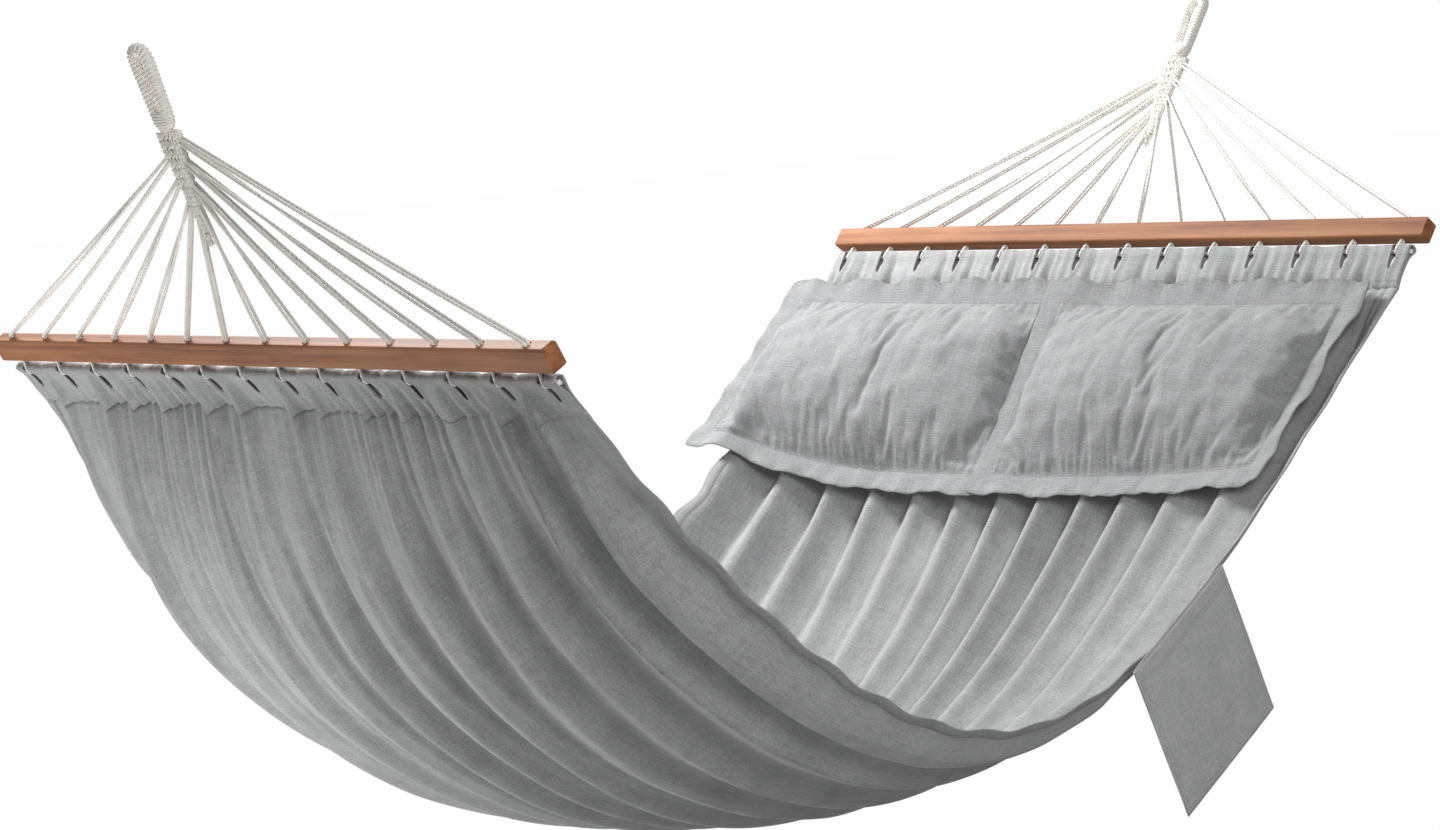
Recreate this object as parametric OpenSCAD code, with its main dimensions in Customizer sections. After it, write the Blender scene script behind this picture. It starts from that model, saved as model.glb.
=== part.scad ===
// Two-person cloth hammock with spreader bars.
// +Y runs from the foot hook to the head hook, +Z is up, X lies along the bars.
// The origin is the point where the foot eye bears on its hook.

/* [Layout] */
// Distance between the two spreader bars
bar_gap = 1650; // [1500:10:1800]
// Height of the foot hook above its bar
foot_rise = 392; // [350:2:430]
// Distance from the foot bar out to its hook
foot_run = 130; // [110:5:180]
// Height of the head hook above its bar
head_rise = 356; // [330:2:400]
// Distance from the head bar out to its hook
head_run = 240; // [180:5:260]

/* [Spreader bars] */
// Length of a bar
bar_len = 1250; // [1220:5:1300]
// Depth of a bar along its holes
bar_d = 35; // [28:1:42]
// Thickness of a bar across its holes
bar_t = 24; // [18:1:30]
// Radius of the eased long edges
bar_ease = 4; // [2:0.5:7]
// Chamfer at the corners of the ends
bar_end_cut = 3; // [1:0.5:6]
// Lean of the foot bar's holes, measured up from level
foot_lean = 62; // [50:1:75]
// Lean of the head bar's holes, measured up from level
head_lean = 52; // [45:1:70]

/* [Suspension cords] */
// Cord loops at each end, an even number
cord_count = 14; // [10:2:14]
// Spacing of the cord holes
cord_pitch = 90; // [82:1:92]
// Diameter of a cord strand
cord_d = 5; // [3.5:0.5:5.5]
// Space left round the two strands in a bar hole
hole_play = 0.4; // [0.3:0.1:0.8]
// Distance from the bar down to the header rope
rope_drop = 19; // [16:1:26]
// Diameter of the header rope
rope_d = 8; // [6:0.5:9]

/* [Eye and neck] */
// Diameter of the wrapped bundle that forms the eye
eye_bundle_d = 17; // [13:0.5:20]
// Width of the eye's slot at the hook
eye_slot = 14; // [12:1:18]
// Distance from the hook to the lashing between eye and neck
lashing_at = 92; // [84:1:100]
// Radius of the lashing ball on which the neck swings
lashing_r = 12; // [10:0.5:14]
// Width of the woven neck below the lashing
neck_w = 50; // [46:1:56]
// Thickness of the woven neck over its ribs
neck_t = 15; // [13:0.5:18]
// Spacing of the woven rows along the neck
neck_row = 8; // [6:0.5:10]
// Distance from the lashing to the first cords that leave the neck
first_level = 21; // [18:1:26]
// Distance between the levels at which cords leave
level_step = 31; // [28:1:34]
// How much lower the cords leave on the left side
left_drop = 24; // [16:1:28]
// Diameter of the tail knot
knot_d = 14; // [12:1:15]

/* [Bed cloth] */
// Width of the bed at the bars
bed_w = 1220; // [1190:5:1240]
// Slope of the side hems where they leave the bars
hem_slope = 46; // [40:1:52]
// Slope of the slit tunnel at the foot bar
foot_slope = 60; // [50:1:66]
// Slope of the slit tunnel at the head bar
head_slope = 48; // [42:1:56]
// Softness of the bend at the bottom of the bed
bed_round = 500; // [420:10:600]
// Depth of the bed's middle below its side hems
belly = 180; // [140:5:200]
// How much deeper it hangs towards the foot, as a share of its depth
foot_lean_share = 0.45; // [0:0.05:0.5]
// How much deeper it hangs towards the left hem, as a share of its depth
left_lean_share = 0.4; // [0:0.05:0.45]
// How far each side hem draws in at mid length
waist = 48; // [20:2:70]
// Thickness of the bed cloth
cloth_t = 2; // [1.5:0.1:2.6]
// Thickness of the doubled side hems
hem_t = 3.6; // [3:0.1:4.5]
// Lengthwise folds across the bed
folds = 12; // [8:1:12]
// Height of the folds at mid length
fold_mid = 6; // [3:0.5:9]
// Height of the folds near the bars
fold_end = 11; // [8:0.5:14]

/* [Slit tunnel] */
// Wall of the tunnel round the header rope
tunnel_wall = 1.8; // [1.4:0.1:2.4]
// Length of the doubled band below the header rope
band_len = 62; // [54:1:74]
// Length of the slits below the header rope
slit_len = 34; // [26:1:44]
// Width of a slit
slit_w = 11; // [9:0.5:14]

/* [Pillows] */
// Width of a pillow over its flanges
pillow_w = 640; // [580:5:650]
// Length of a pillow down the slope, over its flanges
pillow_l = 345; // [300:5:380]
// Thickness of a pillow at its crown
pillow_t = 70; // [55:5:90]
// Width of the flat flange round a pillow
flange = 38; // [25:1:50]
// Thickness of the flange
flange_t = 3; // [2:0.2:4]
// Distance from the end of the head tunnel's band to the pillows, along Y
pillow_from_band = 2; // [1:1:30]
// Distance from the right hem to the right pillow
pillow_inset = 28; // [20:1:50]
// How far the right pillow's flange lies over the left one's
pillow_overlap = 36; // [20:1:37]
// Thickness of a pillow's cover
cover_t = 4; // [3:0.5:6]

/* [Side pocket] */
// Length of the pocket along the hem
pocket_w = 230; // [180:5:260]
// Height of the pocket
pocket_h = 235; // [180:5:260]
// Thickness of the pocket over both panels
pocket_t = 12; // [10:0.5:16]
// How far the pocket's mouth stands above the hem at its middle
pocket_raise = 10; // [8:1:14]
// Thickness of one panel of the pocket
panel_t = 1.8; // [1.2:0.1:2.2]
// Distance from mid length of the bed to the middle of the pocket
pocket_at = 285; // [200:5:380]

/* [Clearances] */
// Gap at a sewn or lashed seat
seat = 0.3; // [0.2:0.1:0.5]
// Gap between the left pillow and the crests of the folds, which lets it bridge the hem
left_seat = 6; // [5.5:0.5:9]
// Gap between the right pillow and the crests of the folds
right_seat = 0.6; // [0.4:0.1:2]
// Gap between the two pillows' flanges where they overlap
flange_gap = 0.8; // [0.6:0.1:2]

/* [Hidden] */
$fn = 48;
ends = ["foot", "head"];
cord_ids = [for (i = [1:cord_count]) str(i < 10 ? "0" : "", i)];
cord_names = [for (e = ends) for (n = cord_ids) str(e, "_cord_", n)];

cotton = "#e9e2d3";
wood = "#a5653f";
linen = "#8f9192";
pillow_linen = "#a3a5a6";

// Places of the two ends
foot_y = foot_run;
head_y = foot_run + bar_gap;
mid_y = foot_run + bar_gap / 2;
bar_z = -foot_rise;
function hook_at(e) = e == "foot" ? [0, foot_run, foot_rise] : [0, head_run, head_rise];
function fan_angle(e) = atan2(hook_at(e)[2], hook_at(e)[1]);

// Strands, holes and the header rope
strand_gap = 0.3;
strand_at = (cord_d + strand_gap) / 2;
hole_d = 2 * (strand_at + cord_d / 2 + hole_play);
joint_d = cord_d + 0.4;
mouth_rise = cord_d / 2 + 1.2;
rope_at = bar_d / 2 + rope_drop;
loop_r = rope_d / 2 + seat + cord_d / 2;
function hole_x(i) = (i - (cord_count - 1) / 2) * cord_pitch;

// Levels at which the cords leave the neck, counted from the outermost cords
neck_top = lashing_at + lashing_r + seat;
pair_step = cord_d + 2;
per_side = cord_count / 2;
levels = ceil(per_side / 2);
function is_left(i) = i < per_side;
function cord_rank(i) = is_left(i) ? i : cord_count - 1 - i;
function exit_at(i) = lashing_at + first_level + floor(cord_rank(i) / 2) * level_step
    + (cord_rank(i) % 2) * pair_step + (is_left(i) ? left_drop : 0);
shoulder = pair_step + 7;
neck_step = (neck_w / 2 - cord_d - 2) / levels;
function neck_half_w(k) = neck_w / 2 - k * neck_step;
neck_end = lashing_at + first_level + (levels - 1) * level_step + left_drop + shoulder;

// A point at x, across n and along a of a line that rises at the given angle
function on_line(angle, x, n, a) =
    [x, n * sin(angle) + a * cos(angle), a * sin(angle) - n * cos(angle)];
// The same on the line from a bar up to its hook, measured down from the hook
function on_fan(e, x, n, s) = hook_at(e) + on_line(fan_angle(e), x, n, -s);
function end_lean(e) = e == "foot" ? foot_lean : head_lean;

// The side profile of the bed, from one band to the other
function band_slope(e) = e == "foot" ? foot_slope : head_slope;
function band_end(e) = on_line(end_lean(e), 0, 0, -rope_at)
    - (band_len + 2 * seat) * [0, cos(band_slope(e)), sin(band_slope(e))];
foot_h = bar_gap / 2 + band_end("foot")[1];
head_h = bar_gap / 2 + band_end("head")[1];
half_l = (foot_h + head_h) / 2;
bed_mid = mid_y + (head_h - foot_h) / 2;
steep = tan(hem_slope) * norm([bed_round, half_l]) / half_l;
foot_z = bar_z + band_end("foot")[2];
head_z = bar_z + band_end("head")[2];
function profile_z(t) = steep * (norm([bed_round, t * half_l]) - norm([bed_round, half_l]))
    + foot_z * (1 - t) / 2 + head_z * (1 + t) / 2;
function profile_slope(t) = steep * t * half_l / norm([bed_round, t * half_l])
    + (head_z - foot_z) / (2 * half_l);
function half_w(t) = bed_w / 2 - waist * (1 - t * t);
sag_across = 4;
sag_along = 3.4;
function sag_at(u, t) = belly * (1 - pow(min(1, abs(u)), sag_across))
    * (1 - pow(min(1, abs(t)), sag_along))
    * (1 - foot_lean_share * t) * (1 - left_lean_share * u);
function fold_height(t) = abs(t) > 0.999 ? 0 : fold_mid + (fold_end - fold_mid) * t * t;
// A point of the bed: u across from hem to hem, t along, lifted off the cloth
function bed_point(u, t, lift) =
    let (dz = profile_slope(t), d = (lift - sag_at(u, t)) / norm([1, dz]))
    [u * half_w(t), bed_mid + t * half_l - dz * d, profile_z(t) + d];

// Places of the pillows
function pillow_lift(side) = fold_end + cloth_t / 2 + (side == "left" ? left_seat : right_seat);
pillow_top_t = 1 - pillow_from_band / half_l;
right_from = half_w(pillow_top_t) - pillow_inset - pillow_w;
left_from = right_from + pillow_overlap - pillow_w;
function run_below(t, l) = l <= 0 ? t
    : run_below(t - min(l, 20) / (half_l * norm([1, profile_slope(t)])), l - 20);
pillow_foot_t = run_below(pillow_top_t, pillow_l);

// Place of the pocket
pocket_t_at = pocket_at / half_l;
pocket_tilt = atan(profile_slope(pocket_t_at));
pocket_x = half_w(pocket_t_at + pocket_w / 2 * cos(pocket_tilt) / half_l) + seat;

module at_end(e) {
    y = e == "foot" ? foot_y : head_y;
    translate([0, y, bar_z])
        rotate([0, 0, e == "foot" ? 180 : 0])
            children();
}

module on_bar(e) {
    at_end(e)
        rotate([end_lean(e) - 90, 0, 0])
            children();
}

// Lies in the plane of the cords, with its origin on the hook and -Z towards the bar
module below_hook(e) {
    at_end(e)
        translate(hook_at(e))
            rotate([fan_angle(e) - 90, 0, 0])
                children();
}

// A straight run of one strand; its seam is turned away from the crossings at the bends
module rod(p, q) {
    seam_turn = 50;
    v = q - p;
    translate(p)
        rotate([0, acos(v[2] / norm(v)), atan2(v[1], v[0])])
            rotate([0, 0, seam_turn])
                cylinder(d = cord_d, h = norm(v));
}

// Rounds a bend of a strand; its poles lie along the bar's hole
module bend(p, lean) {
    translate(p)
        rotate([lean - 90, 0, 0])
            sphere(d = joint_d);
}

// A loop of wrapped cord with legs that draw together down to the lashing
module eye(e) {
    turn_r = (eye_slot + eye_bundle_d) / 2;
    close_in = 2.5;
    leg = lashing_at - eye_slot / 2;
    color(cotton)
        below_hook(e)
            translate([0, 0, -eye_slot / 2])
                union() {
                    rotate([90, 0, 0])
                        rotate([0, 0, -close_in])
                            rotate_extrude(angle = 180 + 2 * close_in)
                                translate([turn_r, 0])
                                    circle(d = eye_bundle_d);
                    for (side = [-1, 1])
                        rotate([0, side * close_in, 0])
                            translate([side * turn_r, 0, -leg])
                                cylinder(d = eye_bundle_d, h = leg);
                    translate([0, 0, -leg])
                        sphere(r = lashing_r);
                }
}

// Outline of the neck: it steps in below each level where cords leave
module neck_outline(e, grow = 0) {
    lip = 3;
    function side(s, drop) = [
        for (k = [0:levels - 1], j = [0, 1])
            [s * (neck_half_w(k + j) + grow),
             -(lashing_at + first_level + drop + k * level_step - lip + j * shoulder)]];
    right = side(1, e == "foot" ? left_drop : 0);
    left = side(-1, e == "foot" ? 0 : left_drop);
    last = neck_half_w(levels) + grow;
    polygon(concat(
        [[neck_w / 2 + grow, -neck_top + grow]], right, [[last, -neck_end - grow]],
        [[-last, -neck_end - grow]],
        [for (i = [len(left) - 1:-1:0]) left[i]], [[-neck_w / 2 - grow, -neck_top + grow]]));
}

// Woven rows across the neck, cut to its outline
module neck(e) {
    rows = ceil((neck_end - neck_top) / neck_row);
    groove = 1.2;
    color(cotton)
        below_hook(e)
            intersection() {
                rotate([90, 0, 90])
                    linear_extrude(neck_w, center = true)
                        union() {
                            translate([groove - neck_t / 2, -neck_end])
                                square([neck_t - 2 * groove, neck_end - neck_top]);
                            for (k = [0:rows - 1])
                                translate([0, -neck_top - (k + 0.5) * neck_row])
                                    circle(d = neck_t);
                        }
                rotate([90, 0, 0])
                    linear_extrude(neck_t + 2, center = true)
                        neck_outline(e);
            }
}

// The strands that are left over are tied off under the neck
module tail_knot(e) {
    color(cotton)
        below_hook(e)
            difference() {
                translate([0, 0, -neck_end - knot_d * 0.3])
                    sphere(d = knot_d);
                translate([-knot_d, -knot_d, -neck_end - seat])
                    cube(2 * knot_d);
            }
}

// One cord: down from the neck, through the bar, round the header rope and back
module cord(e, i) {
    lean = end_lean(e);
    x = hole_x(i);
    side = is_left(i) ? -1 : 1;
    inner_x = e == "foot" ? -x : x;
    start_x = (e == "foot" ? -side : side) * (neck_half_w(floor(cord_rank(i) / 2) + 1) - 1);
    module strand(n) {
        from = on_fan(e, start_x, n, exit_at(i));
        over = on_line(lean, inner_x, n, bar_d / 2 + mouth_rise);
        under = on_line(lean, inner_x, n, -bar_d / 2 - 1);
        turn = on_line(lean, inner_x, sign(n) * loop_r, -rope_at);
        rod(from, over);
        bend(over, lean);
        rod(over, under);
        bend(under, lean);
        rod(under, turn);
        bend(turn, lean);
    }
    color(cotton)
        difference() {
            at_end(e)
                union() {
                    strand(strand_at);
                    strand(-strand_at);
                    translate(on_line(lean, inner_x, 0, -rope_at))
                        rotate([lean - 90, 0, 0])
                            rotate([0, 90, 0])
                                rotate([0, 0, -90])
                                    rotate_extrude(angle = 180)
                                        translate([loop_r, 0])
                                            circle(d = cord_d);
                }
            below_hook(e)
                rotate([90, 0, 0])
                    linear_extrude(3 * neck_t, center = true)
                        neck_outline(e, seat);
        }
}

module header_rope(e) {
    color(cotton)
        on_bar(e)
            translate([0, 0, -rope_at])
                rotate([0, 90, 0])
                    cylinder(d = rope_d, h = bed_w, center = true);
}

// Eased wooden bar with a bore for each cord loop
module spreader_bar(e) {
    color(wood)
        on_bar(e)
            difference() {
                intersection() {
                    rotate([90, 0, 90])
                        linear_extrude(bar_len, center = true)
                            bar_section();
                    rotate([90, 0, 0])
                        linear_extrude(2 * bar_t, center = true)
                            bar_side();
                }
                for (i = [0:cord_count - 1])
                    translate([hole_x(i), 0, 0]) {
                        cylinder(d = hole_d, h = bar_d + 2, center = true);
                        for (s = [-1, 1])
                            translate([0, 0, s * bar_d / 2])
                                cylinder(d1 = hole_d + (1 - s), d2 = hole_d + (1 + s), h = 1,
                                    center = true);
                    }
            }
}

module bar_section() {
    square([bar_t - 2 * bar_ease, bar_d], center = true);
    square([bar_t, bar_d - 2 * bar_ease], center = true);
    for (x = [-1, 1], y = [-1, 1])
        translate([x * (bar_t / 2 - bar_ease), y * (bar_d / 2 - bar_ease)])
            circle(r = bar_ease);
}

module bar_side() {
    l = bar_len / 2;
    d = bar_d / 2;
    c = bar_end_cut;
    polygon([[-l, c - d], [c - l, -d], [l - c, -d], [l, c - d],
        [l, d - c], [l - c, d], [c - l, d], [-l, d - c]]);
}

// Doubled end of the cloth: it wraps the header rope and is slit open at each cord
module slit_tunnel(e) {
    bore_d = rope_d + 2 * seat;
    outer_d = bore_d + 2 * tunnel_wall;
    color(linen)
        at_end(e)
            translate(on_line(end_lean(e), 0, 0, -rope_at))
                rotate([band_slope(e) - 90, 0, 0])
                    difference() {
                        rotate([90, 0, 90])
                            linear_extrude(bed_w, center = true)
                                difference() {
                                    union() {
                                        circle(d = outer_d);
                                        translate([-tunnel_wall, -band_len])
                                            square([2 * tunnel_wall, band_len]);
                                    }
                                    circle(d = bore_d);
                                }
                        for (i = [0:cord_count - 1])
                            translate([hole_x(i) - slit_w / 2, -outer_d, -slit_len])
                                cube([slit_w, 2 * outer_d, slit_len + outer_d]);
                    }
}

// Closed mesh between an upper and a lower grid of points, nu by nv cells
module quilt(upper, lower, nu, nv) {
    n = (nu + 1) * (nv + 1);
    function at(i, j) = j * (nu + 1) + i;
    rim = concat(
        [for (i = [0:nu - 1]) at(i, 0)], [for (j = [0:nv - 1]) at(nu, j)],
        [for (i = [nu:-1:1]) at(i, nv)], [for (j = [nv:-1:1]) at(0, j)]);
    top = [for (j = [0:nv - 1], i = [0:nu - 1], h = [0, 1])
        h == 0 ? [at(i, j), at(i + 1, j + 1), at(i + 1, j)] : [at(i, j), at(i, j + 1), at(i + 1, j + 1)]];
    edge = [for (k = [0:len(rim) - 1], h = [0, 1])
        let (a = rim[k], b = rim[(k + 1) % len(rim)]) h == 0 ? [a, b, b + n] : [a, b + n, a + n]];
    polyhedron(concat(upper, lower),
        concat(top, [for (f = top) [f[0] + n, f[2] + n, f[1] + n]], edge));
}

// The cloth hangs from band to band in soft lengthwise folds
module bed_cloth() {
    nu = 3 * folds;
    nv = 15;
    function thick(i) = i == 0 || i == nu ? hem_t : cloth_t;
    function grid(s) = [for (j = [0:nv], i = [0:nu])
        let (u = 2 * i / nu - 1, t = 2 * j / nv - 1)
        bed_point(u, t, fold_height(t) * cos(120 * i) + s * thick(i) / 2)];
    color(linen)
        quilt(grid(1), grid(-1), nu, nv);
}

// A stuffed pillow that follows the bed, full in the middle and flat at its flange. The right
// one's flange rises over the left one's. A positive inset gives the space inside the cover.
module pillow_form(side, inset, rim_t, nu, nv) {
    from = side == "left" ? left_from : right_from;
    margin = inset > 0 ? flange + inset : 0;
    rise = side == "left" ? 0 : pillow_lift("left") - pillow_lift("right") + flange_t + flange_gap;
    blend = 2 * flange;
    corner = 2.4;
    fullness = 0.75;
    function crown(x, y) =
        let (fx = abs(x) / (pillow_w / 2 - flange - inset),
            fy = abs(y) / (pillow_l / 2 - flange - inset))
        fx >= 1 || fy >= 1 ? 0 : pow((1 - pow(fx, corner)) * (1 - pow(fy, corner)), fullness);
    function over(x) = rise * max(0, min(1, (pillow_overlap + blend - x) / blend));
    function spot(i, n, size) = (i / n - 0.5) * (size - 2 * margin);
    function grid(s) = [for (j = [0:nv], i = [0:nu])
        let (x = spot(i, nu, pillow_w), y = spot(j, nv, pillow_l), c = crown(x, y),
            u = (from + x + pillow_w / 2) / half_w(pillow_top_t),
            t = pillow_foot_t + (pillow_top_t - pillow_foot_t) * (y / pillow_l + 0.5),
            middle = pillow_lift(side) + flange_t / 2 + over(x + pillow_w / 2))
        bed_point(u, t, middle + (s > 0 ? rim_t + (pillow_t - 2 * inset) * c : inset * c - rim_t))];
    quilt(grid(1), grid(-1), nu, nv);
}

module pillow_cover(side) {
    color(pillow_linen)
        difference() {
            pillow_form(side, 0, flange_t / 2, 18, 12);
            pillow_form(side, cover_t, 3 * seat, 10, 8);
        }
}

module pillow_filling(side) {
    color("white")
        pillow_form(side, cover_t + seat, seat, 10, 8);
}

// Flat pouch sewn to the right hem, open at the top
module side_pocket() {
    sewn_edge = 12;
    color(linen)
        translate([pocket_x, bed_mid + pocket_at, profile_z(pocket_t_at) + pocket_raise])
            rotate([pocket_tilt, 0, 0])
                translate([0, -pocket_w / 2, -pocket_h])
                    difference() {
                        cube([pocket_t, pocket_w, pocket_h]);
                        translate([panel_t, sewn_edge, sewn_edge])
                            cube([pocket_t - 2 * panel_t, pocket_w - 2 * sewn_edge, pocket_h]);
                    }
}

eye("foot");  // foot_eye
eye("head");  // head_eye
neck("foot");  // foot_neck
neck("head");  // head_neck
tail_knot("foot");  // foot_tail_knot
tail_knot("head");  // head_tail_knot
spreader_bar("foot");  // foot_spreader_bar
spreader_bar("head");  // head_spreader_bar
header_rope("foot");  // foot_header_rope
header_rope("head");  // head_header_rope
slit_tunnel("foot");  // foot_slit_tunnel
slit_tunnel("head");  // head_slit_tunnel
bed_cloth();
side_pocket();
pillow_cover("left");  // left_pillow_cover
pillow_cover("right");  // right_pillow_cover
pillow_filling("left");  // left_pillow_filling
pillow_filling("right");  // right_pillow_filling
for (e = [0, 1], i = [0:cord_count - 1])
    cord(ends[e], i);
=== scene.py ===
# %% [markdown]
# # A cloth hammock with spreader bars
# The hammock is one long sheet of linen that hangs between two wooden bars. Doubled cotton cords
# fan out from a woven neck to each bar, pass through its holes and hold the sheet by a rope that
# runs in its slit tunnel. Two flanged pillows lie at the head, and a pouch hangs from the right hem.
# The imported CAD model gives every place. This script gives each soft piece its real surface.

import math

import bpy
import numpy as np
from mathutils import Matrix, Vector, noise


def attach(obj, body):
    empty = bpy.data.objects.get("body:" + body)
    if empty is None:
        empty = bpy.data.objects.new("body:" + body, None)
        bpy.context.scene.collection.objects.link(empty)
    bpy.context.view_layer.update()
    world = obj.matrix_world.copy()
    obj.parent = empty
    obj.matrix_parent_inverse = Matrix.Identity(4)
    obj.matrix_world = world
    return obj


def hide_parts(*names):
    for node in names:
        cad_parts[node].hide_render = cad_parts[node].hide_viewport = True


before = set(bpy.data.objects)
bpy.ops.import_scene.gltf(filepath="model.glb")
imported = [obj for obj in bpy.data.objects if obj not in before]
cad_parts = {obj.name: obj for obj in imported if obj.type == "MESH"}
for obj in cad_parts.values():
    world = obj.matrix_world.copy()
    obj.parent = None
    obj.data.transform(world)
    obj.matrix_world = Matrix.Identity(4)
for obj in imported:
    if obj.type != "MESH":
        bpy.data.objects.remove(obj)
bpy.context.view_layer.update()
bpy.ops.object.select_all(action="DESELECT")
MM = 0.001

# %% [markdown]
# ## Camera, floor and light
# The picture is taken a little above the near bar's height, from the foot end and the left. A long
# lens keeps the two bars nearly parallel. The camera is turned by a matrix of its own three axes,
# because that keeps azimuth, elevation and roll apart. The floor is plain and pale, and the white
# behind it is only seen by the camera, so that it adds no light to the cloth.

# %% Camera
AZIMUTH, ELEVATION, ROLL = (math.radians(a) for a in (-48.87, 5.69, -4.42))
FOCAL_PX, IMAGE_W, FILM = 3670, 1440, 36
ASIDE, BELOW, AWAY = 0.0085, 0.184, 5.3009
ahead = Vector((math.sin(AZIMUTH) * math.cos(ELEVATION), math.cos(AZIMUTH) * math.cos(ELEVATION),
                -math.sin(ELEVATION)))
level = Vector((math.cos(AZIMUTH), -math.sin(AZIMUTH), 0))
above = level.cross(ahead)
right = level * math.cos(ROLL) + above * math.sin(ROLL)
up = above * math.cos(ROLL) - level * math.sin(ROLL)
between_bars = Vector((0, 0.955, -0.392))
bpy.ops.object.camera_add(location=between_bars - ASIDE * right - BELOW * up - AWAY * ahead)
camera = bpy.context.object
camera.rotation_euler = Matrix((right, up, -ahead)).transposed().to_euler()
camera.data.sensor_width = FILM
camera.data.lens = FOCAL_PX * FILM / IMAGE_W
camera.data.clip_end = 100
bpy.context.scene.camera = camera
print("camera at", [round(c, 3) for c in camera.location])


# %% Floor, backdrop and lamps
def new_material(name):
    """An empty material with its Principled shader, and the tree of its nodes."""
    material = bpy.data.materials.new(name)
    material.use_nodes = True
    return material, material.node_tree


def link_math(tree, operation, first, second):
    """One Math node over sockets or plain numbers."""
    node = tree.nodes.new("ShaderNodeMath")
    node.operation = operation
    for socket, value in zip(node.inputs, (first, second)):
        if isinstance(value, (int, float)):
            socket.default_value = value
        else:
            tree.links.new(value, socket)
    return node.outputs[0]


def white_to_camera(tree, light, white, share, end):
    """White, by its share, where the camera, a mirror or glass looks, and the light for the rest."""
    rays = tree.nodes.new("ShaderNodeLightPath").outputs
    seen = link_math(tree, "MAXIMUM", rays["Is Camera Ray"], rays["Is Glossy Ray"])
    seen = link_math(tree, "MAXIMUM", seen, rays["Is Transmission Ray"])
    mix = tree.nodes.new("ShaderNodeMixShader")
    tree.links.new(link_math(tree, "MULTIPLY", seen, share), mix.inputs["Fac"])
    tree.links.new(light.outputs[0], mix.inputs[1])
    tree.links.new(white.outputs[0], mix.inputs[2])
    tree.links.new(mix.outputs[0], end.inputs["Surface"])


FLOOR_SIZE, FLOOR_Z, FLOOR_GREY, FLOOR_WHITE, WORLD_LIGHT = 60, -1.55, 0.55, 0.985, 0.14
bpy.ops.mesh.primitive_plane_add(size=FLOOR_SIZE, location=(0, 0, FLOOR_Z))
floor = bpy.context.object
floor.name = "floor"
floor_paint, tree = new_material("pale_floor")
paint = tree.nodes["Principled BSDF"]
paint.inputs["Base Color"].default_value = (FLOOR_GREY, FLOOR_GREY, FLOOR_GREY, 1)
paint.inputs["Roughness"].default_value = 0.9
glow = tree.nodes.new("ShaderNodeEmission")
white_to_camera(tree, paint, glow, FLOOR_WHITE, tree.nodes["Material Output"])
floor.data.materials.append(floor_paint)

world = bpy.data.worlds.new("studio")
bpy.context.scene.world = world
world.use_nodes = True
tree = world.node_tree
light, backdrop = tree.nodes["Background"], tree.nodes.new("ShaderNodeBackground")
light.inputs["Strength"].default_value = WORLD_LIGHT
for background in (light, backdrop):
    background.inputs["Color"].default_value = (1, 1, 1, 1)
white_to_camera(tree, light, backdrop, 1.0, tree.nodes["World Output"])


def soft_lamp(name, place, size, watts):
    """A square area lamp that faces the middle of the bed."""
    bpy.ops.object.light_add(type="AREA", location=place)
    lamp = bpy.context.object
    lamp.name = name
    lamp.data.size, lamp.data.energy = size, watts
    lamp.rotation_euler = (BED_MIDDLE - Vector(place)).to_track_quat("-Z", "Y").to_euler()


BED_MIDDLE = Vector((0, 0.95, -0.75))
soft_lamp("key_lamp", (-2.0, 1.1, 1.7), 0.9, 185)
soft_lamp("front_lamp", (3.9, -0.8, 1.2), 1.6, 95)
soft_lamp("left_lamp", (-3.0, -1.1, -0.7), 0.6, 18)
soft_lamp("low_lamp", (-0.6, -0.4, -1.5), 0.8, 14)
bpy.context.scene.view_settings.view_transform = "Standard"

# %% [markdown]
# ## Finishes
# Every finish is made of nodes. Cloth and cord patterns follow a UV map that is laid out in metres,
# so that a thread is as wide on a pillow as on the bed. The wood reads Object coordinates, which
# are metres too, because the bars keep the CAD model's own mesh.


# %% Finishes
def link_noise(tree, source, scale, detail, rough):
    """Noise over the source coordinates, with its own scale along each axis."""
    mapping = tree.nodes.new("ShaderNodeMapping")
    mapping.inputs["Scale"].default_value = scale
    tree.links.new(source, mapping.inputs["Vector"])
    texture = tree.nodes.new("ShaderNodeTexNoise")
    for name, value in (("Scale", 1), ("Detail", detail), ("Roughness", rough)):
        texture.inputs[name].default_value = value
    tree.links.new(mapping.outputs[0], texture.inputs["Vector"])
    return texture.outputs["Fac"]


def weighted_sum(tree, *parts):
    """The sum of (value, weight) pairs."""
    total = link_math(tree, "MULTIPLY", *parts[0])
    for part in parts[1:]:
        total = link_math(tree, "ADD", total, link_math(tree, "MULTIPLY", *part))
    return total


def link_ramp(tree, value, stops):
    """Colours along a value, as (place, linear colour) stops."""
    ramp = tree.nodes.new("ShaderNodeValToRGB")
    while len(ramp.color_ramp.elements) < len(stops):
        ramp.color_ramp.elements.new(0.5)
    for element, (place, colour) in zip(ramp.color_ramp.elements, stops):
        element.position = place
        element.color = (*colour, 1)
    tree.links.new(value, ramp.inputs["Fac"])
    return ramp.outputs["Color"]


def link_bump(tree, height, distance, strength):
    """Bump into the Principled shader's normal, after any bump that is there already."""
    bump = tree.nodes.new("ShaderNodeBump")
    bump.inputs["Distance"].default_value = distance
    bump.inputs["Strength"].default_value = strength
    tree.links.new(height, bump.inputs["Height"])
    normal = tree.nodes["Principled BSDF"].inputs["Normal"]
    if normal.is_linked:
        tree.links.new(normal.links[0].from_socket, bump.inputs["Normal"])
    tree.links.new(bump.outputs[0], normal)


def set_shader(tree, colour, values):
    """The Principled shader's colour and plain values."""
    inputs = tree.nodes["Principled BSDF"].inputs
    tree.links.new(colour, inputs["Base Color"])
    for name, value in values.items():
        inputs[name].default_value = value


def uv_in_metres(tree):
    node = tree.nodes.new("ShaderNodeUVMap")
    node.uv_map = "UVMap"
    return node.outputs["UV"]


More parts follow.
